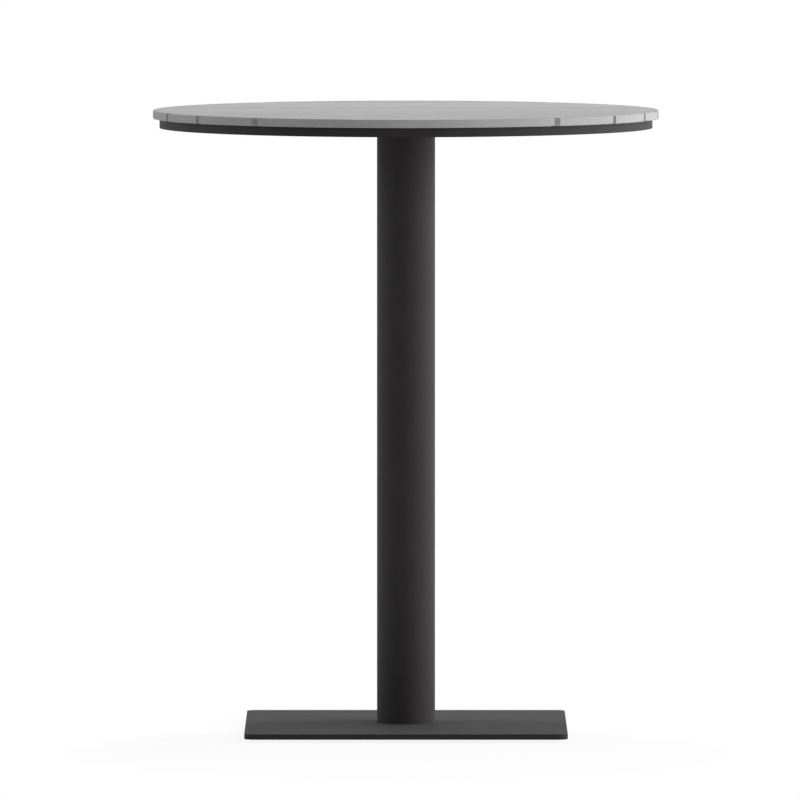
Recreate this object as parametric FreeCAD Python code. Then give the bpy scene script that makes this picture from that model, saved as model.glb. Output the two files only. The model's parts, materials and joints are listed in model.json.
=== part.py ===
import FreeCAD, Part
import math
import os

# Round bistro table: a slatted top on a rolled ring frame, carried by a tube column on a square plate.
# Millimetres, +Z up, origin on the floor below the middle of the table.
# The slats run along X, left to right, and the crossbars below them run along Y, front to back.

# Overall size
table_height = 738.0
top_diameter = 600.0

# Slats: the full ones share what the gaps and the two end slats leave of the diameter
slat_count = 9
slat_thickness = 10.0
slat_gap = 5.0
end_slat_width = 55.5
slat_edge_radius = 1.5

# Ring frame: an angle section rolled with its flange on top, pointing inwards
rim_overhang = 7.8
ring_height = 11.0
ring_wall = 2.5
ring_flange = 22.0

# Crossbars: channels that open downwards and are coped to fit under the ring's flange
crossbar_spacing = 200.0
crossbar_width = 30.0
crossbar_wall = 2.5
weld_gap = 0.1

# Screws that hold the slats from below
slat_screw_radius = 2.0
slat_screw_bite = 6.5
slat_screw_head_radius = 4.0
slat_screw_head_height = 2.4
slat_screw_recess_length = 4.6
slat_screw_recess_width = 1.1
slat_screw_recess_depth = 1.4
slat_screw_hole_clearance = 0.25

# Head plate on the column, and the blocks in the crossbars that its bolts screw into
head_plate_thickness = 5.0
head_plate_margin = 5.0
head_plate_corner_radius = 12.0
bolt_edge_distance = 25.0
nut_block_length = 30.0
nut_block_clearance = 0.1

# Button head bolts of the head plate
head_bolt_radius = 3.0
head_bolt_bite = 6.0
head_bolt_head_radius = 5.25
head_bolt_head_height = 3.3
head_bolt_hole_clearance = 0.4
head_bolt_socket = 4.0
head_bolt_socket_depth = 1.9

# Column tube with the weld bead under the head plate
column_diameter = 69.0
column_wall = 2.0
weld_leg = 4.0

# Disc welded into the foot of the column
foot_disc_thickness = 10.0
foot_disc_clearance = 0.1
base_screw_circle = 40.0

# Base plate
base_width = 381.0
base_thickness = 6.4
base_corner_radius = 12.0
base_edge_radius = 0.8

# Countersunk screws that hold the column on the base plate
base_screw_count = 4
base_screw_first_angle = 45.0
base_screw_radius = 4.0
base_screw_head_radius = 7.6
base_screw_bite = 8.5
base_screw_recess = 0.2
base_screw_hole_clearance = 0.4
base_screw_socket = 5.0
base_screw_socket_depth = 2.2

# Levelling feet: a threaded stud in a blind hole of the base plate, with a pad that swivels on the stud's
# flange and is open in the middle for the key that turns the stud
foot_inset = 65.5
foot_height = 4.0
stud_radius = 4.0
stud_hole_cover = 1.4
stud_end_clearance = 0.3
stud_flange_radius = 8.0
stud_flange_thickness = 1.2
stud_socket = 4.0
stud_socket_depth = 3.0
pad_radius = 12.0
pad_key_hole_radius = 3.0
pad_floor = 1.2
pad_edge_radius = 1.0
pad_seat_clearance = 0.3
swivel_clearance = 0.1

# Radial clearance of every modelled thread, and how close two measures are when they count as the same
thread_clearance = 0.05
tolerance = 1e-6

# Heights of the faces that the pieces share, from the floor up
base_bottom = foot_height
base_top = base_bottom + base_thickness
stud_hole_top = base_top - stud_hole_cover
slat_bottom = table_height - slat_thickness
ring_bottom = slat_bottom - ring_height
head_plate_bottom = ring_bottom - head_plate_thickness

# Radii and places that follow from the sizes above
top_radius = top_diameter / 2
ring_radius = top_radius - rim_overhang
flange_inner_radius = ring_radius - ring_flange
flange_screw_radius = ring_radius - (ring_flange + ring_wall) / 2
full_slat_width = (top_diameter - 2 * end_slat_width - (slat_count - 1) * slat_gap) / (slat_count - 2)
slat_pitch = full_slat_width + slat_gap
crossbar_x = crossbar_spacing / 2
bay_half_width = crossbar_x - crossbar_width / 2
head_bolt_y = slat_pitch / 2
column_radius = column_diameter / 2
column_bore_radius = column_radius - column_wall
foot_offset = base_width / 2 - foot_inset


def vector(x, y, z):
    return FreeCAD.Vector(x, y, z)


def block(center_x, center_y, width, depth, bottom, top):
    corner = vector(center_x - width / 2, center_y - depth / 2, bottom)
    return Part.makeBox(width, depth, top - bottom, corner)


def cylinder(x, y, radius, bottom, top):
    return Part.makeCylinder(radius, top - bottom, vector(x, y, bottom))


def revolved(profile):
    """Solid of a closed profile of (radius, height) points, turned about the Z axis."""
    points = [vector(radius, 0, height) for radius, height in profile]
    face = Part.Face(Part.makePolygon(points + points[:1]))
    return face.revolve(vector(0, 0, 0), vector(0, 0, 1), 360)


def moved(shape, x, y):
    copy = shape.copy()
    copy.translate(vector(x, y, 0))
    return copy


def hex_socket(across_flats, bottom, top):
    corner_radius = across_flats / math.sqrt(3)
    angles = [math.radians(60 * side) for side in range(6)]
    points = [vector(corner_radius * math.cos(a), corner_radius * math.sin(a), bottom) for a in angles]
    return Part.Face(Part.makePolygon(points + points[:1])).extrude(vector(0, 0, top - bottom))


def rounded_plate(width, depth, corner_radius, bottom, top):
    plate = block(0, 0, width, depth, bottom, top)
    upright = [edge for edge in plate.Edges if edge.BoundBox.ZLength > (top - bottom) / 2]
    return plate.makeFillet(corner_radius, upright)


def edges_at(shape, *heights):
    """Edges that lie flat at one of the given heights."""
    flat = [edge for edge in shape.Edges if edge.BoundBox.ZLength < tolerance]
    return [edge for edge in flat if any(abs(edge.BoundBox.ZMin - height) < tolerance for height in heights)]


def half_chord(radius, y):
    """Half the width of a circle at the distance y from its middle."""
    return math.sqrt(max(radius ** 2 - y ** 2, 0))


def slat_span(index):
    """Front and back limits of a slat along Y, counted from the front."""
    if index == 0:
        return -top_radius, -top_radius + end_slat_width
    front = -top_radius + end_slat_width + slat_gap + (index - 1) * slat_pitch
    if index == slat_count - 1:
        return front, top_radius
    return front, front + full_slat_width


def crossbar_screw_places():
    """One screw in each crossbar for each full slat."""
    rows = [sum(slat_span(index)) / 2 for index in range(1, slat_count - 1)]
    return [(side * crossbar_x, y) for side in (-1, 1) for y in rows]


def flange_screw_places():
    """One screw in the flange at each end of a slat; an end slat has its two between the crossbars."""
    places = []
    for index in range(slat_count):
        front, back = slat_span(index)
        for side in (-1, 1):
            if index in (0, slat_count - 1):
                x = side * bay_half_width / 2
                y = math.copysign(half_chord(flange_screw_radius, x), front + back)
            else:
                y = (front + back) / 2
                x = side * half_chord(flange_screw_radius, y)
            places.append((x, y))
    return places


def slat(index):
    """One slat: straight sides along X, ends cut to the round outline, eased edges and blind screw holes."""
    front, back = slat_span(index)
    middle = (front + back) / 2
    front_half, back_half = half_chord(top_radius, front), half_chord(top_radius, back)
    middle_half = half_chord(top_radius, middle)
    if index in (0, slat_count - 1):
        inner_y, inner_half = (back, back_half) if index == 0 else (front, front_half)
        outer = vector(0, math.copysign(top_radius, middle), slat_bottom)
        left = vector(-inner_half, inner_y, slat_bottom)
        right = vector(inner_half, inner_y, slat_bottom)
        outline = [Part.LineSegment(left, right), Part.Arc(right, outer, left)]
    else:
        corners = [
            vector(-front_half, front, slat_bottom),
            vector(front_half, front, slat_bottom),
            vector(back_half, back, slat_bottom),
            vector(-back_half, back, slat_bottom),
        ]
        outline = [
            Part.LineSegment(corners[0], corners[1]),
            Part.Arc(corners[1], vector(middle_half, middle, slat_bottom), corners[2]),
            Part.LineSegment(corners[2], corners[3]),
            Part.Arc(corners[3], vector(-middle_half, middle, slat_bottom), corners[0]),
        ]
    wire = Part.Wire([curve.toShape() for curve in outline])
    board = Part.Face(wire).extrude(vector(0, 0, slat_thickness))
    board = board.makeFillet(slat_edge_radius, edges_at(board, slat_bottom, table_height))
    for x, y in crossbar_screw_places() + flange_screw_places():
        if front < y < back:
            board = board.cut(slat_screw_hole(x, y))
    return board


def slat_screw_hole(x, y):
    wall = crossbar_wall if abs(x) == crossbar_x else ring_wall
    tip = slat_bottom - wall + slat_screw_length(wall)
    return cylinder(x, y, slat_screw_radius + thread_clearance, slat_bottom, tip + thread_clearance)


def slat_screw_length(wall):
    return wall + slat_screw_bite


def slat_screw(x, y, wall):
    """Pan head screw with a cross recess that comes up through a wall of that thickness into a slat."""
    seat = slat_bottom - wall
    head = seat - slat_screw_head_height
    rim = slat_screw_head_radius - slat_screw_head_height / 2
    profile = [
        (0, head),
        (rim, head),
        (slat_screw_head_radius, head + slat_screw_head_height / 2),
        (slat_screw_head_radius, seat),
        (slat_screw_radius, seat),
        (slat_screw_radius, seat + slat_screw_length(wall)),
        (0, seat + slat_screw_length(wall)),
    ]
    screw = revolved(profile)
    length, width = slat_screw_recess_length, slat_screw_recess_width
    screw = screw.cut(block(0, 0, length, width, head, head + slat_screw_recess_depth))
    screw = screw.cut(block(0, 0, width, length, head, head + slat_screw_recess_depth))
    return moved(screw, x, y)


def slat_screws():
    screws = [slat_screw(x, y, crossbar_wall) for x, y in crossbar_screw_places()]
    screws += [slat_screw(x, y, ring_wall) for x, y in flange_screw_places()]
    return Part.makeCompound(screws)


def rim_ring():
    """Rolled angle: the wall that shows below the slats, and the flange that they are screwed to."""
    under_flange = slat_bottom - ring_wall
    ring = revolved([
        (flange_inner_radius, slat_bottom),
        (ring_radius, slat_bottom),
        (ring_radius, ring_bottom),
        (ring_radius - ring_wall, ring_bottom),
        (ring_radius - ring_wall, under_flange),
        (flange_inner_radius, under_flange),
    ])
    hole_radius = slat_screw_radius + slat_screw_hole_clearance
    for x, y in flange_screw_places():
        ring = ring.cut(cylinder(x, y, hole_radius, under_flange, slat_bottom))
    return ring


def crossbar(side):
    """Channel that opens downwards, with its web cut back to the flange and its legs run on under it."""
    x = side * crossbar_x
    under_web = slat_bottom - crossbar_wall
    bar = block(x, 0, crossbar_width, top_diameter, ring_bottom, slat_bottom)
    inside = block(x, 0, crossbar_width - 2 * crossbar_wall, top_diameter, ring_bottom, under_web)
    bar = bar.cut(inside)
    bar = bar.common(cylinder(0, 0, ring_radius - ring_wall - weld_gap, ring_bottom, slat_bottom))
    flange_room = cylinder(0, 0, top_radius, slat_bottom - ring_wall - weld_gap, slat_bottom)
    flange_room = flange_room.cut(cylinder(0, 0, flange_inner_radius - weld_gap, ring_bottom, slat_bottom))
    bar = bar.cut(flange_room)
    hole_radius = slat_screw_radius + slat_screw_hole_clearance
    for hole_x, hole_y in crossbar_screw_places():
        if hole_x == x:
            bar = bar.cut(cylinder(hole_x, hole_y, hole_radius, under_web, slat_bottom))
    return bar


def head_bolt_places():
    return [(side * crossbar_x, row * head_bolt_y) for side in (-1, 1) for row in (-1, 1)]


def nut_blocks():
    """Tapped blocks welded into the crossbars above the head plate's bolts."""
    width = crossbar_width - 2 * crossbar_wall - 2 * nut_block_clearance
    top = slat_bottom - crossbar_wall
    blocks = []
    for x, y in head_bolt_places():
        tapped = cylinder(x, y, head_bolt_radius + thread_clearance, ring_bottom, top)
        blocks.append(block(x, y, width, nut_block_length, ring_bottom, top).cut(tapped))
    return Part.makeCompound(blocks)


def head_plate():
    width = crossbar_spacing + crossbar_width + 2 * head_plate_margin
    depth = 2 * (head_bolt_y + bolt_edge_distance)
    plate = rounded_plate(width, depth, head_plate_corner_radius, head_plate_bottom, ring_bottom)
    hole_radius = head_bolt_radius + head_bolt_hole_clearance
    for x, y in head_bolt_places():
        plate = plate.cut(cylinder(x, y, hole_radius, head_plate_bottom, ring_bottom))
    return plate


def head_bolts():
    """Button head bolts, up through the head plate into the blocks."""
    head = head_plate_bottom - head_bolt_head_height
    tip = ring_bottom + head_bolt_bite
    dome_radius = (head_bolt_head_radius ** 2 + head_bolt_head_height ** 2) / (2 * head_bolt_head_height)
    half_angle = math.asin(head_bolt_head_radius / dome_radius) / 2
    crown = vector(0, 0, head)
    shoulder = vector(dome_radius * math.sin(half_angle), 0, head + dome_radius * (1 - math.cos(half_angle)))
    rim = vector(head_bolt_head_radius, 0, head_plate_bottom)
    corners = [
        rim,
        vector(head_bolt_radius, 0, head_plate_bottom),
        vector(head_bolt_radius, 0, tip),
        vector(0, 0, tip),
        crown,
    ]
    outline = [Part.LineSegment(a, b) for a, b in zip(corners, corners[1:])]
    outline.append(Part.Arc(crown, shoulder, rim))
    face = Part.Face(Part.Wire([curve.toShape() for curve in outline]))
    bolt = face.revolve(vector(0, 0, 0), vector(0, 0, 1), 360)
    bolt = bolt.cut(hex_socket(head_bolt_socket, head, head + head_bolt_socket_depth))
    return Part.makeCompound([moved(bolt, x, y) for x, y in head_bolt_places()])


def column():
    """Tube from the base plate to the head plate, flared at the top by its weld bead."""
    return revolved([
        (column_bore_radius, base_top),
        (column_radius, base_top),
        (column_radius, head_plate_bottom - weld_leg),
        (column_radius + weld_leg, head_plate_bottom),
        (column_bore_radius, head_plate_bottom),
    ])


def base_screw_places():
    radius = base_screw_circle / 2
    places = []
    for index in range(base_screw_count):
        angle = math.radians(base_screw_first_angle + 360 * index / base_screw_count)
        places.append((radius * math.cos(angle), radius * math.sin(angle)))
    return places


def column_foot_disc():
    """Disc inside the foot of the column, tapped for the screws from below."""
    top = base_top + foot_disc_thickness
    disc = cylinder(0, 0, column_bore_radius - foot_disc_clearance, base_top, top)
    for x, y in base_screw_places():
        disc = disc.cut(cylinder(x, y, base_screw_radius + thread_clearance, base_top, top))
    return disc


def base_screws():
    """Countersunk screws, up through the base plate into the disc."""
    head = base_bottom + base_screw_recess
    tip = base_top + base_screw_bite
    screw = revolved([
        (0, head),
        (base_screw_head_radius, head),
        (base_screw_radius, head + base_screw_head_radius - base_screw_radius),
        (base_screw_radius, tip),
        (0, tip),
    ])
    screw = screw.cut(hex_socket(base_screw_socket, head, head + base_screw_socket_depth))
    return Part.makeCompound([moved(screw, x, y) for x, y in base_screw_places()])


def foot_places():
    """Corner names with their place under the base plate; front is the side at -Y."""
    return {
        "front_left": (-foot_offset, -foot_offset),
        "front_right": (foot_offset, -foot_offset),
        "rear_left": (-foot_offset, foot_offset),
        "rear_right": (foot_offset, foot_offset),
    }


def base_plate():
    """Square steel plate with rounded corners, countersunk and tapped from below for the column and feet."""
    plate = rounded_plate(base_width, base_width, base_corner_radius, base_bottom, base_top)
    plate = plate.makeFillet(base_edge_radius, edges_at(plate, base_bottom, base_top))
    head = base_screw_head_radius + base_screw_recess + base_screw_hole_clearance
    hole = base_screw_radius + base_screw_hole_clearance
    countersunk = revolved([
        (0, base_bottom),
        (head, base_bottom),
        (hole, base_bottom + head - hole),
        (hole, base_top),
        (0, base_top),
    ])
    for x, y in base_screw_places():
        plate = plate.cut(moved(countersunk, x, y))
    for x, y in foot_places().values():
        plate = plate.cut(cylinder(x, y, stud_radius + thread_clearance, base_bottom, stud_hole_top))
    return plate


def foot_stud(x, y):
    """Threaded stud with the flange that the pad swivels on and a socket in its lower end."""
    flange_bottom = pad_floor + swivel_clearance
    flange_top = flange_bottom + stud_flange_thickness
    top = stud_hole_top - stud_end_clearance
    stud = revolved([
        (0, flange_bottom),
        (stud_flange_radius, flange_bottom),
        (stud_flange_radius, flange_top),
        (stud_radius, flange_top),
        (stud_radius, top),
        (0, top),
    ])
    stud = stud.cut(hex_socket(stud_socket, flange_bottom, flange_bottom + stud_socket_depth))
    return moved(stud, x, y)


def foot_pad(x, y):
    """Moulded pad, snapped over the stud's flange, with a hole for the key in its floor."""
    top = foot_height - pad_seat_clearance
    cavity_radius = stud_flange_radius + swivel_clearance
    cavity_top = pad_floor + stud_flange_thickness + 2 * swivel_clearance
    throat_radius = stud_radius + swivel_clearance
    pad = revolved([
        (pad_key_hole_radius, 0),
        (pad_radius, 0),
        (pad_radius, top),
        (throat_radius, top),
        (throat_radius, cavity_top),
        (cavity_radius, cavity_top),
        (cavity_radius, pad_floor),
        (pad_key_hole_radius, pad_floor),
    ])
    rims = [edge for edge in edges_at(pad, 0, top) if abs(edge.BoundBox.XMax - pad_radius) < tolerance]
    return moved(pad.makeFillet(pad_edge_radius, rims), x, y)


def table_parts():
    """Every piece of the table by its name."""
    parts = {f"slat_{index + 1}": slat(index) for index in range(slat_count)}
    parts["slat_screws"] = slat_screws()
    parts["rim_ring"] = rim_ring()
    parts["crossbar_left"] = crossbar(-1)
    parts["crossbar_right"] = crossbar(1)
    parts["crossbar_nut_blocks"] = nut_blocks()
    parts["head_plate"] = head_plate()
    parts["head_bolts"] = head_bolts()
    parts["column"] = column()
    parts["column_foot_disc"] = column_foot_disc()
    parts["base_screws"] = base_screws()
    parts["base_plate"] = base_plate()
    for corner, (x, y) in foot_places().items():
        parts[f"foot_stud_{corner}"] = foot_stud(x, y)
        parts[f"foot_pad_{corner}"] = foot_pad(x, y)
    return parts


os.makedirs("parts", exist_ok=True)
for name, shape in table_parts().items():
    shape.exportStep(f"parts/{name}.step")
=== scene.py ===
import json
import math

import bmesh
import bpy
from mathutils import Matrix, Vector


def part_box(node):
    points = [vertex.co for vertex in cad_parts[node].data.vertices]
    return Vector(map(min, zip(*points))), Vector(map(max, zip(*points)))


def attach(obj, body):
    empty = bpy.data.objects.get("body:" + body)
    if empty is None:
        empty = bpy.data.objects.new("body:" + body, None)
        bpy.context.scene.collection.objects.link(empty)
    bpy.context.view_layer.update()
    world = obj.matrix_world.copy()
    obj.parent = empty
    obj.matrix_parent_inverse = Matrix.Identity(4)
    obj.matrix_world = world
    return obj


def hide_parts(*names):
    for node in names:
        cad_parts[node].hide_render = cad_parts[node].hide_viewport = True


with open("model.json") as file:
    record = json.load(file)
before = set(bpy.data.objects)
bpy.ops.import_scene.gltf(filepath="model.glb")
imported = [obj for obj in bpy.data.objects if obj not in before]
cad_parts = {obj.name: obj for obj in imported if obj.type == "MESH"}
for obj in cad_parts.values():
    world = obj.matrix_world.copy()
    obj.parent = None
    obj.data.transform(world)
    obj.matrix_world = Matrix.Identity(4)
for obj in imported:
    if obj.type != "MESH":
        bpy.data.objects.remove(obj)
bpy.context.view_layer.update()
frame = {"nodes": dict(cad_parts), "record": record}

# Round slatted table on a tube column and a square plate, dressed for its portrait.
# Metres, in the frame's own axes: the slats run along X and the camera stands on the -Y side.

MM = 0.001
CORNERS = ("front_left", "front_right", "rear_left", "rear_right")

# Camera: a long lens from far off, a little above the table top
CAMERA_PLACE = (-0.0071, -18.706, 1.4466)
CAMERA_PITCH = math.radians(3.222)
CAMERA_LENS = 710.5
CAMERA_REACH = 120.0

# Pan head screws of the slats, in millimetres
SCREW_HEAD_HEIGHT = 2.4
SCREW_SHANK_RADIUS = 2.0
SCREW_SIDES = 32
CROWN_STEPS = 7
CROWN_POWER = 2 / 3
RECESS_LENGTH = 4.6
RECESS_WIDTH = 1.1
RECESS_DEPTH = 1.4
RECESS_TAPER = 0.6
SCREW_SEED = 4

# Levelling studs, in millimetres
STUD_FLANGE_THICKNESS = 1.2
STUD_SHANK_RADIUS = 4.0
STUD_SOCKET = 4.0
HEXAGON_SIDES = 6
STUD_SOCKET_DEPTH = 3.0
THREAD_PITCH = 1.25
THREAD_DEPTH = 0.55
THREAD_SIDES = 36
THREAD_STEPS_PER_PITCH = 8

# Weld beads, in millimetres; the depth is that of the drops' centres below the column bead's face.
# Each drop has its own size between two scales, which flatten it along the bead.
COLUMN_WELD_LEG = 4.0
COLUMN_DROP_RADIUS = 2.4
COLUMN_DROP_DEPTH = 1.7
RING_WALL = 2.5
BAR_DROP_RADIUS = 1.6
DROP_LEAST_SCALE = (0.62, 0.92, 0.92)
DROP_MOST_SCALE = (0.72, 1.06, 1.06)
DROP_SEGMENTS = 12
DROP_RINGS = 8
RIPPLE_PITCH = 1.7
CIRCLE_STEPS = 180
BEAD_SEED = 11

# Edges that turn by more than this look sharp
SHARP_ANGLE = math.radians(35)

# Corners of loose triangles that lie closer than this, in millimetres, are one point
SAME_POINT = 0.001

# Studio: softboxes that stand low beside the table, and a small lamp high behind it.
# Azimuth 0 is the camera's side and 90 the right, in degrees; sizes in metres, powers in watts.
LAMP_AIM = Vector((0.0, 0.0, 0.55))
LAMP_DISTANCE = 3.0
LAMPS = (
    {"name": "right_front_softbox", "azimuth": 55, "elevation": 5, "size": 2.0, "power": 46},
    {"name": "right_softbox", "azimuth": 90, "elevation": 5, "size": 2.0, "power": 53},
    {"name": "right_rear_softbox", "azimuth": 120, "elevation": 5, "size": 2.0, "power": 30},
    {"name": "left_softbox", "azimuth": -90, "elevation": 5, "size": 2.0, "power": 26},
    {"name": "high_rear_lamp", "azimuth": 180, "elevation": 66, "size": 0.2, "power": 45},
)
ROOM_LEVEL = 0.40
STUDIO_FRONT_LEVEL = 0.03
BACKDROP_BLEND = 0.2
FLOOR_HALF_SIZE = 60.0
SHADOW_REACH = 1.1
SHADOW_SHARE = 0.12


def linear(hex_colour):
    """sRGB hex text as a linear RGBA colour."""
    channels = [int(hex_colour[i:i + 2], 16) / 255 for i in (1, 3, 5)]
    return [c / 12.92 if c <= 0.04045 else ((c + 0.055) / 1.055) ** 2.4 for c in channels] + [1.0]


def set_inputs(tree, node, values):
    """Sets or links a node's inputs, each by its name or number."""
    for key, value in values.items():
        if isinstance(value, bpy.types.NodeSocket):
            tree.links.new(value, node.inputs[key])
        else:
            node.inputs[key].default_value = value


def add(tree, kind, inputs=None, stops=(), **settings):
    """Adds a node with its inputs, its settings and, on a ramp, its stops of a position and a hex colour."""
    node = tree.nodes.new(kind)
    for name, value in settings.items():
        setattr(node, name, value)
    set_inputs(tree, node, inputs or {})
    for index, (position, colour) in enumerate(stops):
        node.color_ramp.elements[index].position = position
        node.color_ramp.elements[index].color = linear(colour)
    return node


def new_material(name):
    """Material with a shader to fill in; returns it, its tree, its shader and its object coordinates."""
    material = bpy.data.materials.new(name)
    material.use_nodes = True
    tree = material.node_tree
    tree.nodes.clear()
    shader = add(tree, "ShaderNodeBsdfPrincipled")
    add(tree, "ShaderNodeOutputMaterial", {"Surface": shader.outputs[0]})
    coordinates = add(tree, "ShaderNodeTexCoord").outputs["Object"]
    return material, tree, shader, coordinates


def slat_pitch():
    """Distance from one slat's middle to the next, read from two neighbours."""
    (low_a, high_a), (low_b, high_b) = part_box("slat_4"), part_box("slat_5")
    return (low_b.y + high_b.y - low_a.y - high_a.y) / 2


def extruded_polymer_lumber():
    # Foamed polystyrene board, drawn through a die and brushed: a matt light grey with fine lengthwise
    # scratches, a slow drift of tone along each board and a slightly different tone from board to board.
    # The real scratches are about 0.3 mm wide; they are drawn broader so that they show from a step away.
    material, tree, shader, coordinates = new_material("extruded_polymer_lumber")
    scratch_length, scratch_width, scratch_depth = 110 * MM, 1.4 * MM, 0.15 * MM
    drift_size = 70 * MM
    drift_share, board_share = 0.25, 0.15
    stretched = add(tree, "ShaderNodeMapping", {
        "Vector": coordinates, "Scale": (1 / scratch_length, 1 / scratch_width, 1 / scratch_width)})
    scratches = add(tree, "ShaderNodeTexNoise", {
        "Vector": stretched.outputs[0], "Scale": 1.0, "Detail": 3.0, "Roughness": 0.6})
    drift = add(tree, "ShaderNodeTexNoise", {
        "Vector": coordinates, "Scale": 1 / drift_size, "Detail": 2.0})
    across = add(tree, "ShaderNodeSeparateXYZ", {0: coordinates})
    pitches = add(tree, "ShaderNodeMath", {0: across.outputs["Y"], 1: slat_pitch()}, operation="DIVIDE")
    board = add(tree, "ShaderNodeMath", {0: pitches.outputs[0]}, operation="ROUND")
    board_tone = add(tree, "ShaderNodeTexWhiteNoise", {"W": board.outputs[0]}, noise_dimensions="1D")
    grain = add(tree, "ShaderNodeMix", {
        "Factor": drift_share, "A": scratches.outputs["Fac"], "B": drift.outputs["Fac"]})
    tone = add(tree, "ShaderNodeMix", {
        "Factor": board_share, "A": grain.outputs["Result"], "B": board_tone.outputs["Value"]})
    colour = add(tree, "ShaderNodeValToRGB", {"Fac": tone.outputs["Result"]},
                 stops=((0.3, "#949394"), (0.7, "#ACAAAB")))
    bump = add(tree, "ShaderNodeBump", {
        "Height": scratches.outputs["Fac"], "Strength": 0.5, "Distance": scratch_depth})
    set_inputs(tree, shader, {
        "Base Color": colour.outputs["Color"], "Roughness": 0.62, "IOR": 1.5,
        "Specular IOR Level": 0.3, "Normal": bump.outputs["Normal"]})
    return material


def powder_coat(name, roughness, sheen):
    # Polyester powder, melted on: a matt charcoal skin with a fine sand texture, whose grains break the
    # gloss into a soft sheen, and a barely uneven tone. The real grains are about 0.2 mm across; they are
    # drawn coarser so that they show.
    material, tree, shader, coordinates = new_material(name)
    grain_size, grain_depth = 0.9 * MM, 0.2 * MM
    cloud_size, cloud_share = 45 * MM, 0.5
    gloss_spread = 0.03
    grains = add(tree, "ShaderNodeTexNoise", {
        "Vector": coordinates, "Scale": 1 / grain_size, "Detail": 2.0, "Roughness": 0.55})
    clouds = add(tree, "ShaderNodeTexNoise", {
        "Vector": coordinates, "Scale": 1 / cloud_size, "Detail": 3.0})
    tone = add(tree, "ShaderNodeMix", {
        "Factor": cloud_share, "A": grains.outputs["Fac"], "B": clouds.outputs["Fac"]})
    gloss = add(tree, "ShaderNodeMapRange", {
        "Value": clouds.outputs["Fac"], "From Min": 0.3, "From Max": 0.7,
        "To Min": roughness - gloss_spread, "To Max": roughness + gloss_spread})
    colour = add(tree, "ShaderNodeValToRGB", {"Fac": tone.outputs["Result"]},
                 stops=((0.3, "#252224"), (0.7, "#302D2F")))
    bump = add(tree, "ShaderNodeBump", {
        "Height": grains.outputs["Fac"], "Strength": 0.6, "Distance": grain_depth})
    set_inputs(tree, shader, {
        "Base Color": colour.outputs["Color"], "Roughness": gloss.outputs["Result"], "IOR": 1.5,
        "Specular IOR Level": 0.22, "Sheen Weight": sheen, "Normal": bump.outputs["Normal"]})
    return material


def tumbled_stainless_steel():
    # Stainless screws, headed cold and tumbled clean: bright grey metal with an even haze of fine marks.
    material, tree, shader, coordinates = new_material("tumbled_stainless_steel")
    mark_size = 0.4 * MM
    marks = add(tree, "ShaderNodeTexNoise", {
        "Vector": coordinates, "Scale": 1 / mark_size, "Detail": 3.0})
    colour = add(tree, "ShaderNodeValToRGB", {"Fac": marks.outputs["Fac"]},
                 stops=((0.0, "#B4B4B1"), (1.0, "#CBCBC8")))
    gloss = add(tree, "ShaderNodeMapRange", {
        "Value": marks.outputs["Fac"], "To Min": 0.24, "To Max": 0.42})
    set_inputs(tree, shader, {
        "Base Color": colour.outputs["Color"], "Metallic": 1.0, "Roughness": gloss.outputs["Result"]})
    return material


def black_oxide_steel():
    # Steel blackened in a hot salt bath and oiled: nearly black, with a dull metallic sheen.
    material, tree, shader, coordinates = new_material("black_oxide_steel")
    stain_size = 1.5 * MM
    stains = add(tree, "ShaderNodeTexNoise", {
        "Vector": coordinates, "Scale": 1 / stain_size, "Detail": 3.0})
    colour = add(tree, "ShaderNodeValToRGB", {"Fac": stains.outputs["Fac"]},
                 stops=((0.0, "#242322"), (1.0, "#3A3937")))
    gloss = add(tree, "ShaderNodeMapRange", {
        "Value": stains.outputs["Fac"], "To Min": 0.35, "To Max": 0.55})
    set_inputs(tree, shader, {
        "Base Color": colour.outputs["Color"], "Metallic": 1.0, "Roughness": gloss.outputs["Result"]})
    return material


def moulded_black_nylon():
    # Injection moulded in a spark-eroded tool: black, with a fine even pitting and a low sheen. The pits are
    # drawn darker towards their bottoms, which is painted shade in the hollows.
    material, tree, shader, coordinates = new_material("moulded_black_nylon")
    pit_size, pit_depth = 0.6 * MM, 0.05 * MM
    pits = add(tree, "ShaderNodeTexVoronoi", {"Vector": coordinates, "Scale": 1 / pit_size})
    # Painted shade: the colour darkens towards each pit's bottom, following the same distance as the bump
    colour = add(tree, "ShaderNodeValToRGB", {"Fac": pits.outputs["Distance"]},
                 stops=((0.0, "#1A1A1A"), (1.0, "#242424")))
    bump = add(tree, "ShaderNodeBump", {
        "Height": pits.outputs["Distance"], "Strength": 0.3, "Distance": pit_depth})
    set_inputs(tree, shader, {
        "Base Color": colour.outputs["Color"], "Roughness": 0.5, "IOR": 1.53,
        "Normal": bump.outputs["Normal"]})
    return material


def dress_cad_nodes():
    """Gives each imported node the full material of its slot; returns the materials by slot."""
    finishes = {
        "slat_lumber": extruded_polymer_lumber(),
        "coated_aluminium": powder_coat("powder_coat_on_aluminium", roughness=0.70, sheen=0.0),
        "coated_steel": powder_coat("powder_coat_on_steel", roughness=0.70, sheen=0.0),
        "stainless_steel": tumbled_stainless_steel(),
        "blackened_steel": black_oxide_steel(),
        "foot_nylon": moulded_black_nylon(),
    }
    for subpart in frame["record"]["subparts"]:
        node = frame["nodes"][subpart["node"]]
        node.data.materials.clear()
        node.data.materials.append(finishes[subpart["material_slot"]])
    # The base's coat is duller: it shows no image of the column, and pales at a flat glance
    frame["nodes"]["base_plate"].data.materials[0] = powder_coat(
        "dull_powder_coat_on_base", roughness=0.83, sheen=0.025)
    return finishes


def place(name, data):
    """New object at the origin for a finished mesh, lamp or camera."""
    thing = bpy.data.objects.new(name, data)
    bpy.context.scene.collection.objects.link(thing)
    return thing


def as_mesh(thing):
    """What an object's modifiers make of it, as a plain mesh."""
    return bpy.data.meshes.new_from_object(thing.evaluated_get(bpy.context.evaluated_depsgraph_get()))


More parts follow.
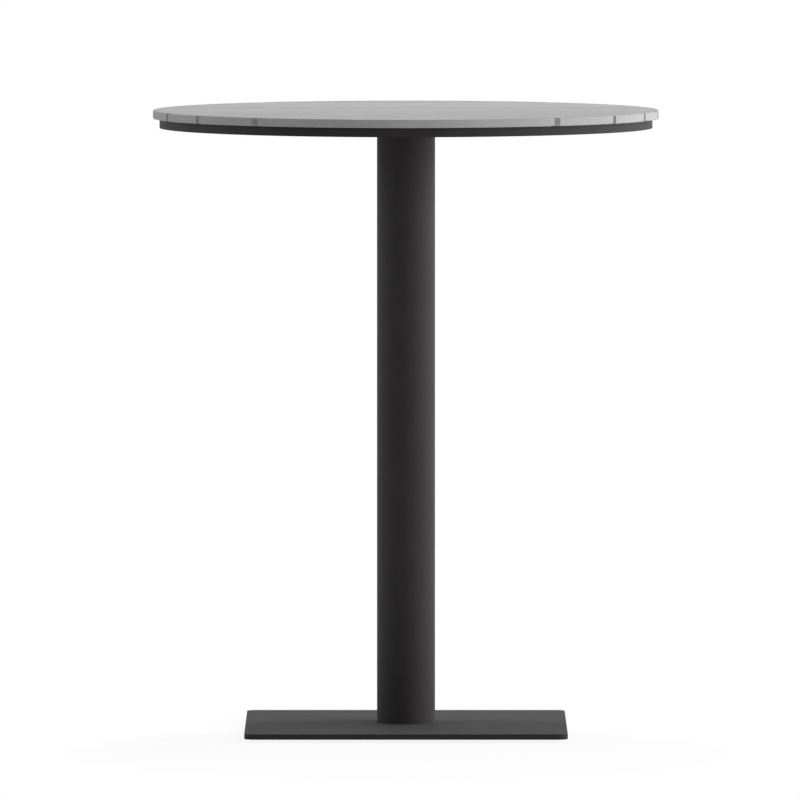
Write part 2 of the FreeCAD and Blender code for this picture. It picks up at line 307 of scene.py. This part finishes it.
def solid_boxes(name):
    """Lowest and highest corners of a node's separate solids."""
    work = bmesh.new()
    work.from_mesh(frame["nodes"][name].data)
    bmesh.ops.remove_doubles(work, verts=work.verts, dist=SAME_POINT * MM)
    boxes, seen = [], set()
    for first in work.verts:
        if first in seen:
            continue
        seen.add(first)
        group = [first]
        for vertex in group:
            for edge in vertex.link_edges:
                other = edge.other_vert(vertex)
                if other not in seen:
                    seen.add(other)
                    group.append(other)
        places = [vertex.co for vertex in group]
        low, high = ([pick(co[axis] for co in places) for axis in range(3)] for pick in (min, max))
        boxes.append((Vector(low), Vector(high)))
    work.free()
    return boxes


def finished(work, name):
    """The working mesh as a named mesh with its faces turned outwards."""
    bmesh.ops.recalc_face_normals(work, faces=work.faces)
    mesh = bpy.data.meshes.new(name)
    work.to_mesh(mesh)
    work.free()
    return mesh


def lathed(name, profile, sides):
    """Mesh of (radius, height) points turned about Z, from axis to axis; a radius may depend on the turn."""
    work = bmesh.new()
    turns = [2 * math.pi * step / sides for step in range(sides)]
    rings = []
    for radius, height in profile:
        if radius == 0:
            rings.append([work.verts.new((0, 0, height))])
            continue
        radii = [radius(turn) if callable(radius) else radius for turn in turns]
        rings.append([
            work.verts.new((r * math.cos(t), r * math.sin(t), height)) for r, t in zip(radii, turns)])
    for low, high in zip(rings, rings[1:]):
        for step in range(sides):
            after = (step + 1) % sides
            around = [ring[index % len(ring)] for ring, index in (
                (low, step), (low, after), (high, after), (high, step))]
            work.faces.new(list(dict.fromkeys(around)))
    return finished(work, name)


def cut_away(mesh, cutters):
    """The mesh without the cutters' solids, smooth up to its sharp edges."""
    blank = place("blank", mesh)
    tools = [place("cutter", cutter) for cutter in cutters]
    for tool in tools:
        cut = blank.modifiers.new("cut", "BOOLEAN")
        cut.object = tool
        cut.solver = "EXACT"
    result = as_mesh(blank)
    for spent in [blank] + tools:
        bpy.data.objects.remove(spent)
    result.shade_smooth()
    result.set_sharp_from_angle(angle=SHARP_ANGLE)
    return result


def recess_blade(along_x):
    """Tapered blade that cuts one arm of a cross recess, upwards from height 0."""
    work = bmesh.new()
    bmesh.ops.create_cube(work, size=1.0)
    for vertex in work.verts:
        inside = vertex.co.z > 0
        size = MM * (RECESS_TAPER if inside else 1.0)
        length, width = vertex.co.x * RECESS_LENGTH * size, vertex.co.y * RECESS_WIDTH * size
        height = RECESS_DEPTH * MM if inside else -RECESS_DEPTH * MM
        vertex.co = (length, width, height) if along_x else (width, length, height)
    return finished(work, "recess_blade")


def pan_head_screw(head_radius, length):
    """Screw that points up from its crown at height 0, with a rounded pan head and a cross recess."""
    head_height, shank = SCREW_HEAD_HEIGHT * MM, SCREW_SHANK_RADIUS * MM
    profile = [(0, 0)]
    for step in range(1, CROWN_STEPS + 1):
        angle = math.pi / 2 * step / CROWN_STEPS
        across, up = math.sin(angle) ** CROWN_POWER, 1 - math.cos(angle) ** CROWN_POWER
        profile.append((head_radius * across, head_height * up))
    profile += [(shank, head_height), (shank, length - shank), (0, length)]
    blades = [recess_blade(along_x) for along_x in (True, False)]
    return cut_away(lathed("pan_head_screw", profile, SCREW_SIDES), blades)


def geometry_tree(name, inputs):
    """Geometry Nodes tree with an input of each name and kind; returns the tree and its input sockets."""
    tree = bpy.data.node_groups.new(name, "GeometryNodeTree")
    tree.interface.new_socket("Geometry", in_out="INPUT", socket_type="NodeSocketGeometry")
    for label, kind in inputs.items():
        tree.interface.new_socket(label, in_out="INPUT", socket_type=kind)
    tree.interface.new_socket("Geometry", in_out="OUTPUT", socket_type="NodeSocketGeometry")
    return tree, add(tree, "NodeGroupInput").outputs


def end_tree(tree, instances, material):
    """Ends a tree with real geometry in the given material."""
    real = add(tree, "GeometryNodeRealizeInstances", {0: instances})
    dressed = add(tree, "GeometryNodeSetMaterial", {"Geometry": real.outputs[0], "Material": material})
    add(tree, "NodeGroupOutput", {"Geometry": dressed.outputs[0]})


def grown(name, start_mesh, tree, values):
    """Plain mesh piece that a tree makes from points or lines, with the tree's inputs given by name."""
    carrier = place(name + "_start", start_mesh)
    modifier = carrier.modifiers.new("grow", "NODES")
    modifier.node_group = tree
    for socket in tree.interface.items_tree:
        if socket.in_out == "INPUT" and socket.name in values:
            modifier[socket.identifier] = values[socket.name]
    mesh = as_mesh(carrier)
    bpy.data.objects.remove(carrier)
    return place(name, mesh)


def screw_tree():
    """Sets a pattern at every point, each copy turned to an angle of its own."""
    tree, inputs = geometry_tree("screws_at_points", {
        "Pattern": "NodeSocketObject", "Full turn": "NodeSocketVector", "Seed": "NodeSocketInt",
        "Finish": "NodeSocketMaterial"})
    screw = add(tree, "GeometryNodeObjectInfo", {"Object": inputs["Pattern"]})
    # Inputs 0 and 1 of a random vector are its least and its most
    turn = add(tree, "FunctionNodeRandomValue", {
        0: (0.0, 0.0, 0.0), 1: inputs["Full turn"], "Seed": inputs["Seed"]}, data_type="FLOAT_VECTOR")
    screws = add(tree, "GeometryNodeInstanceOnPoints", {
        "Points": inputs["Geometry"], "Instance": screw.outputs["Geometry"], "Rotation": turn.outputs[0]})
    end_tree(tree, screws.outputs[0], inputs["Finish"])
    return tree


def add_slat_screws(steel):
    """The screws below the slats, one at every place of the node."""
    boxes = solid_boxes("slat_screws")
    low, high = boxes[0]
    pattern = place("screw_pattern", pan_head_screw((high.x - low.x) / 2, high.z - low.z))
    points = bpy.data.meshes.new("screw_points")
    points.from_pydata([((a.x + b.x) / 2, (a.y + b.y) / 2, a.z) for a, b in boxes], [], [])
    screws = grown("slat_pan_head_screws", points, screw_tree(), {
        "Pattern": pattern, "Full turn": (0.0, 0.0, 2 * math.pi), "Seed": SCREW_SEED, "Finish": steel})
    bpy.data.objects.remove(pattern)
    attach(screws, "table")
    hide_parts("slat_screws")


def thread_at(height):
    """Radius of a right-hand thread as a function of the turn, at that height along it."""
    def radius(turn):
        phase = (height / (THREAD_PITCH * MM) - turn / (2 * math.pi)) % 1
        return (STUD_SHANK_RADIUS - THREAD_DEPTH * (1 - abs(2 * phase - 1))) * MM
    return radius


def threaded_stud(flange_radius, low, high):
    """Levelling stud on the Z axis: round flange, threaded shank and a hexagon socket from below."""
    flange_top = low + STUD_FLANGE_THICKNESS * MM
    profile = [(0, low), (flange_radius, low), (flange_radius, flange_top)]
    steps = round((high - flange_top) / (THREAD_PITCH * MM) * THREAD_STEPS_PER_PITCH)
    for step in range(steps + 1):
        height = (high - flange_top) * step / steps
        profile.append((thread_at(height), flange_top + height))
    profile.append((0, high))
    corner = STUD_SOCKET * MM / math.sqrt(3)
    below, top = low - MM, low + STUD_SOCKET_DEPTH * MM
    outline = [(0, below), (corner, below), (corner, top), (0, top)]
    socket = lathed("stud_socket", outline, HEXAGON_SIDES)
    return cut_away(lathed("threaded_stud", profile, THREAD_SIDES), [socket])


def add_studs(steel):
    """The four levelling studs, each in the place of its node and moving with it."""
    for corner in CORNERS:
        low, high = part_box(f"foot_stud_{corner}")
        mesh = threaded_stud((high.x - low.x) / 2, low.z, high.z)
        for vertex in mesh.vertices:
            vertex.co += Vector(((low.x + high.x) / 2, (low.y + high.y) / 2, 0.0))
        mesh.materials.append(steel)
        stud = place(f"threaded_stud_{corner}", mesh)
        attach(stud, f"stud_{corner}")
        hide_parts(f"foot_stud_{corner}")


def ripple_tree():
    """Lays overlapping drops of weld metal along lines."""
    tree, inputs = geometry_tree("ripples_along_lines", {
        "Ripple pitch": "NodeSocketFloat", "Drop radius": "NodeSocketFloat",
        "Least scale": "NodeSocketVector", "Most scale": "NodeSocketVector",
        "Seed": "NodeSocketInt", "Finish": "NodeSocketMaterial"})
    line = add(tree, "GeometryNodeMeshToCurve", {0: inputs["Geometry"]})
    points = add(tree, "GeometryNodeResampleCurve", {
        "Curve": line.outputs[0], "Length": inputs["Ripple pitch"]}, mode="LENGTH")
    drop = add(tree, "GeometryNodeMeshUVSphere", {
        "Segments": DROP_SEGMENTS, "Rings": DROP_RINGS, "Radius": inputs["Drop radius"]})
    smooth = add(tree, "GeometryNodeSetShadeSmooth", {0: drop.outputs["Mesh"]})
    tangent = add(tree, "GeometryNodeInputTangent")
    along = add(tree, "FunctionNodeAlignRotationToVector", {"Vector": tangent.outputs[0]}, axis="X")
    scale = add(tree, "FunctionNodeRandomValue", {
        0: inputs["Least scale"], 1: inputs["Most scale"], "Seed": inputs["Seed"]},
        data_type="FLOAT_VECTOR")
    drops = add(tree, "GeometryNodeInstanceOnPoints", {
        "Points": points.outputs[0], "Instance": smooth.outputs[0], "Rotation": along.outputs[0],
        "Scale": scale.outputs[0]})
    end_tree(tree, drops.outputs[0], inputs["Finish"])
    return tree


def add_bead(name, tree, points, edges, drop_radius, finish):
    """Rippled bead along lines, which belongs to the table."""
    lines = bpy.data.meshes.new(name + "_lines")
    lines.from_pydata(points, edges, [])
    bead = grown(name, lines, tree, {
        "Ripple pitch": RIPPLE_PITCH * MM, "Drop radius": drop_radius,
        "Least scale": DROP_LEAST_SCALE, "Most scale": DROP_MOST_SCALE,
        "Seed": BEAD_SEED, "Finish": finish})
    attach(bead, "table")


def add_column_weld(tree, finish):
    """Bead around the column's head, on the plain cone that the node has there."""
    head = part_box("column")[1]
    inwards = COLUMN_WELD_LEG * MM / 2 + COLUMN_DROP_DEPTH * MM / math.sqrt(2)
    upwards = COLUMN_WELD_LEG * MM / 2 - COLUMN_DROP_DEPTH * MM / math.sqrt(2)
    radius, height = head.x - inwards, head.z - upwards
    turns = [2 * math.pi * step / CIRCLE_STEPS for step in range(CIRCLE_STEPS)]
    points = [(radius * math.cos(t), radius * math.sin(t), height) for t in turns]
    edges = [(step, (step + 1) % CIRCLE_STEPS) for step in range(CIRCLE_STEPS)]
    add_bead("column_head_weld", tree, points, edges, COLUMN_DROP_RADIUS * MM, finish)


def add_crossbar_welds(tree, finish):
    """Upright beads where the sides of the crossbars meet the inside of the ring."""
    low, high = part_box("rim_ring")
    wall, drop = RING_WALL * MM, BAR_DROP_RADIUS * MM
    sides = [corner.x for name in ("crossbar_left", "crossbar_right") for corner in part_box(name)]
    points, edges = [], []
    for x in sides:
        y = math.sqrt((high.x - wall) ** 2 - x ** 2)
        for end in (-y, y):
            edges.append((len(points), len(points) + 1))
            points += [(x, end, low.z + drop), (x, end, high.z - wall - drop)]
    add_bead("crossbar_end_welds", tree, points, edges, drop, finish)


def add_camera():
    """Camera that stands upright and looks slightly down along +Y."""
    data = bpy.data.cameras.new("portrait_camera")
    data.lens = CAMERA_LENS
    data.clip_end = CAMERA_REACH
    camera = place("portrait_camera", data)
    camera.location = CAMERA_PLACE
    camera.rotation_euler = (math.pi / 2 - CAMERA_PITCH, 0, 0)
    bpy.context.scene.camera = camera


def add_lamp(name, azimuth, elevation, size, power):
    """Square lamp that looks at the table from that side."""
    around, up = math.radians(azimuth), math.radians(elevation)
    away = Vector((math.sin(around) * math.cos(up), -math.cos(around) * math.cos(up), math.sin(up)))
    data = bpy.data.lights.new(name, "AREA")
    data.size = size
    data.energy = power
    lamp = place(name, data)
    lamp.location = LAMP_AIM + LAMP_DISTANCE * away
    lamp.rotation_euler = away.to_track_quat("Z", "Y").to_euler()
    lamp.visible_camera = False


def mirrored_rays(tree, path):
    """1 for what shows in metal or a gloss, or through glass."""
    either = add(tree, "ShaderNodeMath", {
        0: path.outputs["Is Glossy Ray"], 1: path.outputs["Is Transmission Ray"]}, operation="MAXIMUM")
    return either.outputs[0]


def light_room():
    """Pale room: even light, white to the camera, with a white backdrop behind and a dim front."""
    world = bpy.data.worlds.new("pale_room")
    bpy.context.scene.world = world
    world.use_nodes = True
    tree = world.node_tree
    tree.nodes.clear()
    path = add(tree, "ShaderNodeLightPath")
    sky = add(tree, "ShaderNodeTexCoord")
    direction = add(tree, "ShaderNodeSeparateXYZ", {0: sky.outputs["Generated"]})
    backdrop = add(tree, "ShaderNodeMapRange", {
        "Value": direction.outputs["Y"], "From Min": -BACKDROP_BLEND, "From Max": BACKDROP_BLEND,
        "To Min": STUDIO_FRONT_LEVEL, "To Max": 1.0}, interpolation_type="SMOOTHSTEP")
    unseen = add(tree, "ShaderNodeMix", {
        "Factor": mirrored_rays(tree, path), "A": ROOM_LEVEL, "B": backdrop.outputs["Result"]})
    level = add(tree, "ShaderNodeMix", {
        "Factor": path.outputs["Is Camera Ray"], "A": unseen.outputs["Result"], "B": 1.0})
    room = add(tree, "ShaderNodeBackground", {
        "Color": linear("#FFFFFF"), "Strength": level.outputs["Result"]})
    add(tree, "ShaderNodeOutputWorld", {"Surface": room.outputs[0]})


def floor_material():
    # Studio floor: a pale paint that lights the table from below, shown as white paper that keeps the
    # shadow close to the table; from below it is clear.
    material = bpy.data.materials.new("pale_studio_floor")
    material.use_nodes = True
    tree = material.node_tree
    tree.nodes.clear()
    path = add(tree, "ShaderNodeLightPath")
    seen = add(tree, "ShaderNodeMath", {
        0: path.outputs["Is Camera Ray"], 1: mirrored_rays(tree, path)}, operation="MAXIMUM")
    coordinates = add(tree, "ShaderNodeTexCoord").outputs["Object"]
    distance = add(tree, "ShaderNodeVectorMath", {0: coordinates}, operation="LENGTH")
    whiteness = add(tree, "ShaderNodeMapRange", {
        "Value": distance.outputs["Value"], "From Max": SHADOW_REACH,
        "To Min": 1 - SHADOW_SHARE, "To Max": 1.0}, interpolation_type="SMOOTHSTEP")
    paint = add(tree, "ShaderNodeBsdfDiffuse", {"Color": linear("#B4B4B4")})
    paper = add(tree, "ShaderNodeBsdfDiffuse", {"Color": linear("#FFFFFF")})
    white = add(tree, "ShaderNodeEmission", {"Color": linear("#FFFFFF")})
    shown = add(tree, "ShaderNodeMixShader", {
        0: whiteness.outputs["Result"], 1: paper.outputs[0], 2: white.outputs[0]})
    upper_side = add(tree, "ShaderNodeMixShader", {
        0: seen.outputs[0], 1: paint.outputs[0], 2: shown.outputs[0]})
    lower_side = add(tree, "ShaderNodeBsdfTransparent")
    facing = add(tree, "ShaderNodeNewGeometry")
    surface = add(tree, "ShaderNodeMixShader", {
        0: facing.outputs["Backfacing"], 1: upper_side.outputs[0], 2: lower_side.outputs[0]})
    add(tree, "ShaderNodeOutputMaterial", {"Surface": surface.outputs[0]})
    return material


def add_floor():
    """Wide floor at height 0, which isn't part of the table."""
    half = FLOOR_HALF_SIZE
    corners = [(-half, -half, 0), (half, -half, 0), (half, half, 0), (-half, half, 0)]
    mesh = bpy.data.meshes.new("floor")
    mesh.from_pydata(corners, [], [(0, 1, 2, 3)])
    mesh.materials.append(floor_material())
    place("floor", mesh)


bpy.context.scene.view_settings.view_transform = "Standard"
finishes = dress_cad_nodes()
add_slat_screws(finishes["stainless_steel"])
add_studs(finishes["blackened_steel"])
ripples = ripple_tree()
add_column_weld(ripples, finishes["coated_steel"])
add_crossbar_welds(ripples, finishes["coated_aluminium"])
add_camera()
for lamp_settings in LAMPS:
    add_lamp(**lamp_settings)
light_room()
add_floor()
